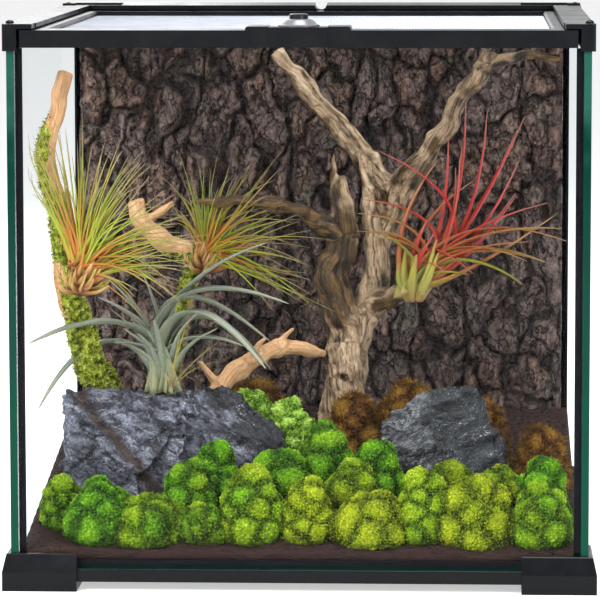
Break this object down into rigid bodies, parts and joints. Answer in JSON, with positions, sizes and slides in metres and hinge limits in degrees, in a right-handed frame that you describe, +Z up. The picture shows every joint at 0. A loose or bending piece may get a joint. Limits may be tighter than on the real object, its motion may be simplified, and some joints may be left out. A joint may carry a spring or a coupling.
{
  "type": "reptile terrarium",
  "caption": "Glass terrarium cube in a black moulded frame, with a sliding mesh lid, a push lock, and a planted landscape of bark, rock, wood, moss and air plants.",
  "frame": {"origin": "on the table, under the middle of the tank's footprint", "axes": "+X to the right seen from the front, +Y to the back, +Z up"},
  "size_m": [0.3088, 0.3088, 0.2993],
  "materials": {
    "glass": "clear polished float glass, green at its edges",
    "silicone": "black silicone, satin",
    "frame_plastic": "black moulded plastic, smooth satin",
    "lid_plastic": "black moulded plastic, smooth satin",
    "mesh_metal": "fine pale grey coated wire mesh",
    "bezel_plastic": "grey plastic, glossy",
    "button_plastic": "black plastic, glossy",
    "bolt_steel": "turned steel",
    "bark": "rough furrowed cork bark",
    "soil": "damp reddish-brown fibre soil",
    "slate": "blue-grey cleft slate",
    "dark_slate": "dark grey speckled stone",
    "driftwood": "weathered grey-brown driftwood",
    "tan_wood": "orange-tan driftwood, mossy below",
    "green_moss": "dense ball moss",
    "light_moss": "short light green moss",
    "brown_moss": "rust-brown moss tufts",
    "spiky_leaf": "thin green leaves with rust-coloured feet",
    "grey_leaf": "scaly grey-green leaves",
    "red_leaf": "thin leaves, red above and yellow-green below"
  },
  "bodies": {
    "tank": {"glass_left": "glass", "glass_right": "glass", "glass_front": "glass", "glass_rear": "glass", "glass_bottom": "glass", "corner_seals": "silicone", "base_seal": "silicone", "foot_front_left": "frame_plastic", "foot_front_right": "frame_plastic", "foot_rear_left": "frame_plastic", "foot_rear_right": "frame_plastic", "bottom_rail_front": "frame_plastic", "bottom_rail_rear": "frame_plastic", "bottom_rail_left": "frame_plastic", "bottom_rail_right": "frame_plastic", "cap_front_left": "frame_plastic", "cap_front_right": "frame_plastic", "corner_rear_left": "frame_plastic", "corner_rear_right": "frame_plastic", "top_rail_left": "frame_plastic", "top_rail_right": "frame_plastic", "top_rail_rear": "frame_plastic", "bark_background": "bark", "substrate": "soil", "rock_left": "slate", "rock_right": "dark_slate", "driftwood_tree": "driftwood", "branch_left": "tan_wood", "branch_back": "tan_wood", "branch_low": "tan_wood", "moss_front": "green_moss", "moss_middle": "green_moss", "moss_light": "light_moss", "moss_brown": "brown_moss", "plant_left": "spiky_leaf", "plant_back": "spiky_leaf", "plant_grey": "grey_leaf", "plant_red": "red_leaf"},
    "lid": {"lid_front_bar": "lid_plastic", "lid_side_left": "lid_plastic", "lid_side_right": "lid_plastic", "lid_rear_bar": "lid_plastic", "lid_mesh": "mesh_metal", "lock_housing": "lid_plastic", "lock_bezel": "bezel_plastic"},
    "lock": {"lock_button": "button_plastic", "lock_bolt": "bolt_steel"}
  },
  "joints": [
    {"name": "lid_slide", "type": "slide", "parent": "tank", "child": "lid", "axis": [0, -1, 0], "range_m": [0, 0.25]},
    {"name": "lock_press", "type": "slide", "parent": "lid", "child": "lock", "axis": [0, 0, -1], "range_m": [0, 0.003]}
  ]
}
